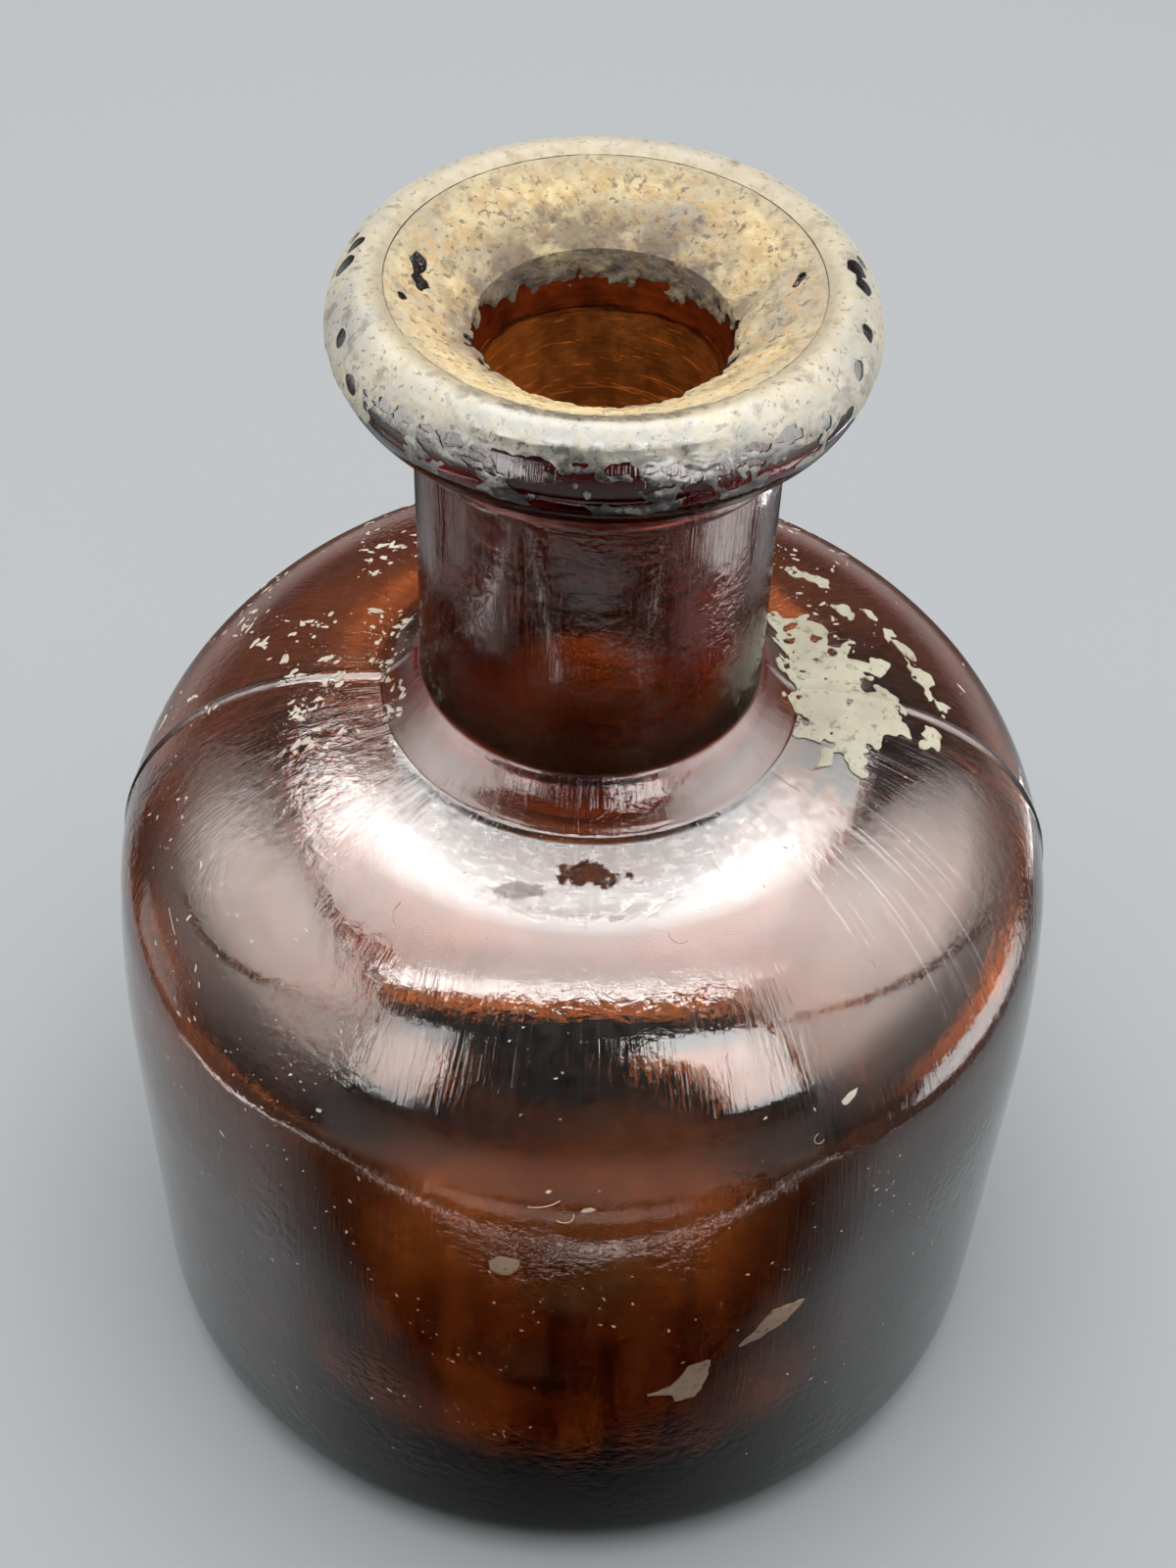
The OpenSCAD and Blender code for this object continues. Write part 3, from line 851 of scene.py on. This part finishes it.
def insideDepth(px, py, outline):
    best = np.full(px.shape, 1e9)
    inside = np.zeros(px.shape, bool)
    for (ax, ay), (bx, by) in zip(outline, outline[1:] + outline[:1]):
        ex, ey = bx - ax, by - ay
        t = np.clip(((px - ax) * ex + (py - ay) * ey) / (ex * ex + ey * ey), 0, 1)
        best = np.minimum(best, np.hypot(px - ax - t * ex, py - ay - t * ey))
        crosses = (ay > py) != (by > py)
        inside ^= crosses & (px < ax + (py - ay) / np.where(ey == 0, 1e-9, ey) * ex)
    return np.where(inside, best, -best)


def shoulderCover(at):
    plans = [[polar(neckR + share * (bodyR - neckR), turn) for share, turn in outline]
             for outline in shoulderCoat["outlines"]]
    depth = deepest(at[..., 0], at[..., 1], plans)
    holes = shoulderCoat["fewHoles"] - shoulderCoat["holes"] * roughAt(at, 1.7, 0.8, 19)
    edge = depth + shoulderCoat["ragged"] * roughAt(at, 2.4, 0.9, 17)
    return np.minimum(edge, holes * 2 + 0.5 * smooth(0, 3, depth))


def patchThick(at, value):
    return shoulderCoat["thick"] * (0.5 + 0.5 * smooth(0, 0.5, value)) + 0.03 * noiseAt(at, 1.2, 21)


def makeShoulderPaint(material):
    line = shoulderLine() + rootLine()
    made = coat("shoulderPaint", [p for p in line if p[1] > shoulderZ], shoulderCoat["gap"], shoulderCover,
                patchThick, material, spanDeg=shoulderCoat["spanDeg"])
    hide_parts("shoulder_paint")
    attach(made, "root")


# Flakes on the wall. Outlines: degrees round from the front, drop under the shoulder as share of the radius

wallCoat = {
    "gap": 0.25, "spanDeg": (-100, -58), "ragged": 0.3,
    "outlines": [
        [(-8.4, 0.03), (-7.6, 0.01), (-5, 0.01), (-5.3, 0.04), (-6.7, 0.065), (-8.3, 0.05)],
        [(19.6, 0.39), (22.3, 0.335), (24.1, 0.275), (28.4, 0.28), (26.4, 0.335), (22.8, 0.37)],
        [(9.9, 0.505), (12.7, 0.485), (14.4, 0.415), (17.2, 0.405), (16.7, 0.49), (15.8, 0.54),
         (13.4, 0.545), (12.7, 0.515)]],
}


def wallCover(at):
    flats = [[(bodyR * math.sin(math.radians(turn)), shoulderZ - drop * bodyR) for turn, drop in outline]
             for outline in wallCoat["outlines"]]
    return deepest(at[..., 0], at[..., 2], flats) + wallCoat["ragged"] * noiseAt(at, 1.2, 22)


def makeWallFlakes(material):
    line = divided([(bodyR, 30), (bodyR, blendMid[1])], 5) + shoulderLine()[1:18]
    made = coat("wallFlakes", line, wallCoat["gap"], wallCover, patchThick, material,
                spanDeg=wallCoat["spanDeg"])
    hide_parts("wall_flakes")
    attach(made, "root")


# Dust, crumbs and fibres on the glass. Places: degrees round, radius on the shoulder or height on the wall

dust = {
    "seed": 5, "heightShare": 0.25, "sides": 6,
    "onShoulder": [
        {"turn": (112, 178), "reach": (18, 46), "count": 400, "size": (0.07, 0.5), "clump": 5.5},
        {"turn": (-186, -160), "reach": (17, 30), "count": 170, "size": (0.07, 0.48), "clump": 2.5},
        {"turn": (176, 182), "reach": (22, 48), "count": 90, "size": (0.05, 0.3), "clump": 9},
        {"turn": (8, 60), "reach": (18, 42), "count": 110, "size": (0.06, 0.35), "clump": 4},
        {"turn": (-180, -120), "reach": (40, 49.5), "count": 120, "size": (0.05, 0.22), "clump": 7},
        {"turn": (-170, -10), "reach": (24, 49), "count": 150, "size": (0.04, 0.15), "clump": 8}],
    "onWall": [
        {"turn": (-155, -30), "reach": (18, 66), "count": 230, "size": (0.04, 0.17), "clump": 10}],
    "single": [(-56.4, 46.1, 0.6), (-92.3, 47.6, 0.3), (-88, 48.2, 0.35), (-134, 49.4, 0.3),
               (-120, 47, 0.28)],
    "fibres": [(-91, 47.9, 3.2, 40), (-89.5, 48.3, 2.4, 100), (-134, 49.6, 2.6, 70), (-61, 47, 2.2, 20),
               (-153, 45, 3, 160), (-118, 34, 3.6, 15), (-75, 31, 2.6, 80), (-48, 40, 2.4, 130)],
    "fibreThick": 0.035, "fibreSteps": 8, "fibreBend": 0.6, "triesEach": 40, "clumpLevels": (-0.15, 0.45),
    "sizePower": 2.5, "stretch": (1, 2.8),
}


def outsideProfile():
    line = divided([(bodyR, bottle["heel"]), (bodyR, blendMid[1])], 1) + shoulderLine()[1:] + rootLine()[1:]
    return np.array(line), profileNormals(line)


def onGlass(turnDeg, reach, byHeight=False):
    line, normals = outsideProfile()
    keys = line[:, 1] if byHeight else -line[:, 0]
    start = 0 if byHeight else int(np.argmax(line[:, 1] > blendMid[1] + 1))
    at = np.interp(reach if byHeight else -reach, keys[start:], range(start, len(line)))
    place, out = onProfile(line, normals, at, math.radians(turnDeg))
    return place + out * outerWave(place[None])[0], out / np.linalg.norm(out)


# One flattened crumb: a ring of corners with a blunt top and bottom
def crumb(chance, place, out, size):
    side = np.cross(out, (0, 0, 1.0)) if abs(out[2]) < 0.9 else np.cross(out, (1.0, 0, 0))
    side /= np.linalg.norm(side)
    other = np.cross(out, side)
    spin, stretch = chance.uniform(0, math.tau), chance.uniform(*dust["stretch"])
    points = []
    for k in range(dust["sides"]):
        a = math.tau * k / dust["sides"]
        u = size * stretch * chance.uniform(0.4, 1.1) * math.cos(a)
        v = size * chance.uniform(0.35, 1.1) * math.sin(a)
        points.append(place + side * (u * math.cos(spin) - v * math.sin(spin))
                      + other * (u * math.sin(spin) + v * math.cos(spin)) + out * size * 0.05)
    points.append(place + out * size * dust["heightShare"])
    points.append(place - out * 0.02)
    return points


def fibre(chance, place, out, length, headingDeg):
    side = np.cross(out, (0, 0, 1.0))
    side /= np.linalg.norm(side)
    other = np.cross(out, side)
    bend, heading = chance.uniform(-dust["fibreBend"], dust["fibreBend"]), math.radians(headingDeg)
    half, steps = dust["fibreThick"], dust["fibreSteps"]
    points, at = [], place + out * half * 0.7
    for k in range(steps + 1):
        ahead = side * math.cos(heading) + other * math.sin(heading)
        across = np.cross(out, ahead)
        points += [at + across * half, at + out * half, at - across * half, at - out * half]
        at = at + ahead * length / steps
        heading += bend
    return points


def makeDust(material):
    chance = random.Random(dust["seed"])
    places = [(turn, reach, size, False) for turn, reach, size in dust["single"]]
    for regions, byHeight in ((dust["onShoulder"], False), (dust["onWall"], True)):
        for region in regions:
            tries = made = 0
            while made < region["count"] and tries < dust["triesEach"] * region["count"]:
                tries += 1
                turn, reach = chance.uniform(*region["turn"]), chance.uniform(*region["reach"])
                x, y = polar(reach, turn)
                spot = (x / region["clump"], y / region["clump"], 3.3)
                if noise.noise(spot) > chance.uniform(*dust["clumpLevels"]):
                    low, high = region["size"]
                    size = low + (high - low) * chance.random() ** dust["sizePower"]
                    places.append((turn, reach, size, byHeight))
                    made += 1
    points, faces = [], []
    sides = dust["sides"]
    for turn, reach, size, byHeight in places:
        start = len(points)
        points += crumb(chance, *onGlass(turn, reach, byHeight), size)
        for k in range(sides):
            after = (k + 1) % sides
            faces.append((start + k, start + after, start + sides))
            faces.append((start + after, start + k, start + sides + 1))
    for turn, reach, length, headingDeg in dust["fibres"]:
        start = len(points)
        points += fibre(chance, *onGlass(turn, reach), length, headingDeg)
        for k in range(dust["fibreSteps"]):
            for j in range(4):
                here, there = start + 4 * k + j, start + 4 * k + (j + 1) % 4
                faces.append((here, here + 4, there + 4, there))
        last = len(points) - 4
        faces += [(start, start + 1, start + 2, start + 3), (last + 3, last + 2, last + 1, last)]
    made = makeObject("surfaceDust", points, faces, material)
    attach(made, "root")


bodyGlass = glassMaterial("amberGlass", amberGlass)
makeVessel(bodyGlass)
print("vessel made")
makeLip(glassMaterial("lipGlass", lipGlass))
makeLipPaint(lipPaintMaterial())
makeCrust(crustMaterial())
print("lip, its paint and the crust made")
makeShoulderPaint(patchMaterial("creamPaint"))
makeWallFlakes(patchMaterial("tanPaint"))
makeDust(patchMaterial("paleDust"))
print("paint remains made")

# The stage: a pale floor, a soft lamp, and panels that only glass and gloss see

stage = {"floorSize": 6, "floorColour": (0.55, 0.565, 0.57, 1), "floorGloss": 0.1, "floorRoughness": 0.9,
         "worldColour": (0.9, 0.95, 1, 1), "worldStrength": 0.35, "backdropStrength": 0.8,
         "mirroredWorld": 0.12, "glowColour": (1, 0.985, 0.97, 1), "plainStrength": 0.8,
         "secondShare": 0.12, "glossyBounces": 10, "transmissionBounces": 16, "allBounces": 20}
# The lamp over the bottle, in metres and watts
lamp = {"place": (0, 0.05, 1.0), "target": (0, 0, 0.05), "size": (1.2, 1.1), "power": 9.5}


# A value that follows a list of (place in mm, value) with straight lines between them
def levelRamp(place, levels):
    low, high = levels[0][0], levels[-1][0]
    most = max(value for _, value in levels)
    ramp = addNode(place.id_data, "ShaderNodeValToRGB", {0: ranged(place, low * mm, high * mm)})
    stops = ramp.color_ramp.elements
    for stop, (_, value) in zip((stops[0], stops[1]), (levels[0], levels[-1])):
        stop.color = (value / most,) * 3 + (1,)
    for at, value in levels[1:-1]:
        stops.new((at - low) / (high - low)).color = (value / most,) * 3 + (1,)
    return times(ramp.outputs[0], most)


# Light that varies over a panel, and plain light for whatever has met a matt surface first
def glowMaterial(name, levels, sideLevels=((-1, 1), (1, 1)), along="Z", across="Y"):
    material, tree, _, output = newMaterial(name)
    parts = partsOf(objectPlace(tree))
    strength = times(levelRamp(parts[along], levels), levelRamp(parts[across], sideLevels))
    path = addNode(tree, "ShaderNodeLightPath").outputs
    first = maths("LESS_THAN", path["Diffuse Depth"], 0.5)
    single = maths("LESS_THAN", path["Glossy Depth"], 1.5)
    strength = times(strength, ranged(single, 0, 1, stage["secondShare"], 1))
    kept = maths("MINIMUM", strength, stage["plainStrength"])
    both = plus(times(strength, first), times(kept, oneMinus(first)))
    glow = addNode(tree, "ShaderNodeEmission", {"Color": stage["glowColour"], "Strength": both})
    setSockets(output, {"Surface": glow.outputs[0]})
    return material


# Black in the middle of a wide oval and clear at its edge
def shadeMaterial(name, shade):
    material, tree, _, output = newMaterial(name)
    middle, reach = [tuple(c * mm for c in shade[key]) for key in ("middle", "reach")]
    moved = vectorMaths("SUBTRACT", objectPlace(tree), middle)
    away = vectorMaths("LENGTH", vectorMaths("DIVIDE", moved, reach))
    clear = ranged(away, shade["core"], 1.0, 1 - shade["cover"], 1.0)
    black = addNode(tree, "ShaderNodeBsdfDiffuse", {"Color": (0, 0, 0, 1)}).outputs[0]
    through = addNode(tree, "ShaderNodeBsdfTransparent").outputs[0]
    both = addNode(tree, "ShaderNodeMixShader", {0: clear, 1: black, 2: through})
    setSockets(output, {"Surface": both.outputs[0]})
    return material


def stageSurface(name, points, faces, material):
    made = makeObject(name, points, faces, material)
    return made


def glossOnly(made):
    made.visible_camera = False
    made.visible_diffuse = False
    made.visible_shadow = False


def makeFloor():
    half = stage["floorSize"] / 2 / mm
    material, _, shader, _ = newMaterial("floorPaper")
    setSockets(shader, {"Base Color": stage["floorColour"], "Roughness": stage["floorRoughness"],
                              "Specular IOR Level": stage["floorGloss"]})
    stageSurface("floor", [(-half, -half, 0), (half, -half, 0), (half, half, 0), (-half, half, 0)],
                 [(0, 1, 2, 3)], material)


# Panels: corners in mm, the glow along one axis, and how it falls off along another
panels = {
    "topPanel": {
        "corners": [(-165, -150, 300), (-165, -80, 300), (-213, -50, 300), (-213, 100, 300),
                    (-120, 150, 300), (-60, 160, 300), (161, 220, 300), (161, -133, 300)],
        "levels": [(-160, 11), (-105, 9.5), (-75, 8.5), (-45, 11), (-15, 12.5), (20, 13.5), (50, 13),
                   (75, 11.5), (110, 10), (150, 8), (205, 7)],
        "along": "Y", "across": "X", "sideLevels": [(-213, 0.75), (-100, 0.85), (-50, 1), (161, 1)]},
    "topFront": {
        "corners": [(-200, -152, 299), (-200, -122, 299), (160, -113, 299), (160, -134, 299)],
        "levels": [(0, 22), (300, 22)]},
    "topBackLeft": {
        "corners": [(-205, 45, 298), (-195, 100, 298), (-120, 148, 298), (-78, 142, 298), (-98, 92, 298),
                    (-150, 60, 298)],
        "levels": [(0, 21), (300, 21)]},
    "leftSide": {
        "corners": [(-125, -121, 0), (-125, -121, 188), (-125, 60, 188), (-125, 60, 0)],
        "levels": [(0, 0.12), (30, 0.15), (50, 0.5), (75, 1.2), (90, 3.2), (105, 5.3), (135, 7.2),
                   (165, 8.2), (188, 7.8)],
        "sideLevels": [(-121, 0.75), (-75, 0.95), (-45, 1.1), (-12, 1.1), (15, 0.6), (35, 0.22),
                       (60, 0.15)]},
    "rightSide": {
        "corners": [(125, -121, 0), (125, -121, 260), (125, 60, 260), (125, 60, 0)],
        "levels": [(0, 0.12), (30, 0.15), (50, 0.6), (75, 1.4), (90, 3.2), (105, 6.3), (135, 7.7),
                   (165, 9.2), (195, 9.2), (260, 8.4)],
        "sideLevels": [(-121, 0.6), (-75, 0.85), (-45, 1), (-15, 1.1), (15, 0.95), (45, 0.45), (60, 0.25)]},
    "frontLeft": {
        "corners": [(-74, -124, 84), (-116, -124, 88), (-119, -124, 176), (-66, -124, 172),
                    (-58, -124, 120)],
        "levels": [(80, 7), (110, 9), (140, 10), (176, 7)]},
    "frontRight": {
        "corners": [(72, -124, 90), (119, -124, 92), (119, -124, 184), (34, -124, 178), (32, -124, 158),
                    (62, -124, 140)],
        "levels": [(80, 9), (110, 12), (140, 14), (184, 13)]},
    "neckGlow": {
        "corners": [(-46, 84, 0.7), (42, 84, 0.7), (42, 136, 0.7), (-46, 136, 0.7)],
        "levels": [(-46, 2.2), (-38, 1.5), (-20, 0.8), (0, 1.4), (20, 0.8), (36, 1.5), (42, 2)],
        "along": "X", "across": "Y", "sideLevels": [(84, 0.2), (98, 0.7), (110, 1.2), (136, 1.2)]},
    "lowFront": {
        "corners": [(-60, -123, 15), (-60, -123, 29), (48, -123, 29), (48, -123, 15)],
        "levels": [(0, 0.9), (40, 0.9)]},
    "lowRight": {
        "corners": [(123, -55, 15), (123, -50, 32), (123, 26, 36), (123, 30, 14)],
        "levels": [(0, 4.0), (40, 4.0)], "sideLevels": [(-55, 1.1), (-20, 1), (30, 0.45)]},
    "lowLeft": {
        "corners": [(-123, -20, 15), (-123, -18, 40), (-123, 22, 40), (-123, 24, 13)],
        "levels": [(0, 0.8), (40, 0.8)]},
}
# The dark creases of the side panels, as (y, z), and the bright edge along their foot, as (x, y)
creases = {"width": 5, "glow": 0.4, "x": 124,
           "left": [(0, 73), (-16, 76), (-34, 82), (-52, 95), (-73, 113), (-100, 143), (-121, 168)],
           "right": [(26, 57), (5, 64), (-15, 82), (-35, 96), (-56, 114), (-76, 133), (-100, 159),
                     (-121, 180)]}
lowEdge = {"width": 5, "levels": [(-125, 3), (-90, 3.5), (-60, 8), (110, 9)],
           "hoodUp": 10, "hoodWidth": 15.5, "hoodShift": -7.5,
           "path": [(-152, 63), (-150, 33), (-130, 0), (-126, -25), (-124, -60), (-124, -95), (-119, -114),
                    (-108, -122), (-66, -121), (-34, -115), (4, -111), (44, -107), (80, -112), (108, -121),
                    (121, -114), (128, -95), (127, -60), (130, -25), (134, 0), (141, 42), (134, 75),
                    (119, 103)]}
# Dark ovals on the floor: two that the gloss mirrors, dark painted into the reflections, and one under and
# behind the bottle, a painted shadow that shows through the glass
shades = {"mirrored": {"middle": (0, -125, 0), "reach": (160, 88, 10), "core": 0.7, "height": 0.6,
                       "cover": 1.0},
          "mirroredBehind": {"middle": (0, 165, 0), "reach": (170, 105, 10), "core": 0.6, "height": 0.5,
                             "cover": 0.9},
          "shadowSeenThrough": {"middle": (28, 42, 0), "reach": (110, 150, 10), "core": 0.6, "height": 0.4,
                          "cover": 0.9}}


def makeRibbon(name, path, width, normal, material, shift=0):
    path = np.array(path, float)
    along = np.gradient(path, axis=0)
    side = np.cross(along, normal)
    side /= np.linalg.norm(side, axis=1, keepdims=True)
    path = path + side * shift
    count = len(path)
    glossOnly(stageSurface(name, np.concatenate([path - side * width / 2, path + side * width / 2]),
                           [(i, i + 1, i + 1 + count, i + count) for i in range(count - 1)], material))


def makePanels():
    for name, panel in panels.items():
        look = {key: panel[key] for key in ("sideLevels", "along", "across") if key in panel}
        made = stageSurface(name, panel["corners"], [tuple(range(len(panel["corners"])))],
                            glowMaterial(name + "Glow", panel["levels"], **look))
        glossOnly(made)
        made.visible_glossy = name != "neckGlow"
    dark = glowMaterial("creaseGlow", [(0, creases["glow"]), (300, creases["glow"])])
    for name, key, x in (("creaseLeft", "left", -creases["x"]), ("creaseRight", "right", creases["x"])):
        makeRibbon(name, [(x, y, z) for y, z in creases[key]], creases["width"], (1, 0, 0), dark)
    makeRibbon("lowEdge", [(x, y, 1) for x, y in lowEdge["path"]], lowEdge["width"], (0, 0, 1),
               glowMaterial("lowEdgeGlow", lowEdge["levels"], along="Y", across="X"))
    hood = shadeMaterial("hoodShade", dict(shades["mirrored"], core=1e3, reach=(1e6, 1e6, 1e6)))
    for name, side in (("hoodLeft", -1), ("hoodRight", 1)):
        corner = [(x, y, 1 + lowEdge["hoodUp"]) for x, y in lowEdge["path"] if side * x > 60 and y < -50]
        makeRibbon(name, corner, lowEdge["hoodWidth"], (0, 0, 1), hood, shift=lowEdge["hoodShift"])
    for name, shade in shades.items():
        (mx, my, _), (rx, ry, _), z = shade["middle"], shade["reach"], shade["height"]
        made = stageSurface(name, [(mx - rx, my - ry, z), (mx + rx, my - ry, z), (mx + rx, my + ry, z),
                                   (mx - rx, my + ry, z)], [(0, 1, 2, 3)], shadeMaterial(name, shade))
        glossOnly(made)
        made.visible_transmission = name == "shadowSeenThrough"
        made.visible_glossy = name != "shadowSeenThrough"


def makeLamp(name):
    data = bpy.data.lights.new(name, "AREA")
    data.shape = "RECTANGLE"
    data.size, data.size_y = lamp["size"]
    data.energy = lamp["power"]
    made = bpy.data.objects.new(name, data)
    made.location = lamp["place"]
    ahead = Vector(lamp["target"]) - Vector(lamp["place"])
    made.rotation_euler = ahead.to_track_quat("-Z", "Y").to_euler()
    made.visible_glossy = False
    made.visible_transmission = False
    made.visible_camera = False
    bpy.context.scene.collection.objects.link(made)


def makeWorld():
    world = bpy.data.worlds.new("studio")
    bpy.context.scene.world = world
    world.use_nodes = True
    tree = world.node_tree
    path = addNode(tree, "ShaderNodeLightPath").outputs
    plain = ranged(path["Is Glossy Ray"], 0.0, 1.0, stage["worldStrength"], stage["mirroredWorld"])
    strength = ranged(path["Is Camera Ray"], 0.0, 1.0, plain, stage["backdropStrength"])
    setSockets(tree.nodes["Background"], {"Color": stage["worldColour"], "Strength": strength})


# The camera stands as the photograph's did. Millimetres and degrees
camera = {"place": (0.19, -164.05, 251.39), "pitch": 47.105, "roll": 2.285, "lens": 53.2, "sensor": 36,
          "clip": (10, 20000)}


def makeCamera():
    data = bpy.data.cameras.new("photoCamera")
    data.lens = camera["lens"]
    data.sensor_width = camera["sensor"]
    data.clip_start, data.clip_end = [distance * mm for distance in camera["clip"]]
    made = bpy.data.objects.new("photoCamera", data)
    pitch, roll = math.radians(camera["pitch"]), math.radians(camera["roll"])
    ahead = Vector((0, math.cos(pitch), -math.sin(pitch)))
    level, up = Vector((1, 0, 0)), Vector((0, math.sin(pitch), math.cos(pitch)))
    right = math.cos(roll) * level + math.sin(roll) * up
    top = -math.sin(roll) * level + math.cos(roll) * up
    turn = Matrix((right, top, -ahead)).transposed().to_4x4()
    made.matrix_world = Matrix.Translation(Vector(camera["place"]) * mm) @ turn
    bpy.context.scene.collection.objects.link(made)
    bpy.context.scene.camera = made


makeFloor()
makePanels()
makeLamp("topLamp")
makeWorld()
makeCamera()
scene = bpy.context.scene
scene.view_settings.view_transform = "Standard"
scene.cycles.glossy_bounces = stage["glossyBounces"]
scene.cycles.transmission_bounces = stage["transmissionBounces"]
scene.cycles.max_bounces = stage["allBounces"]
print("stage, lamps and camera made")
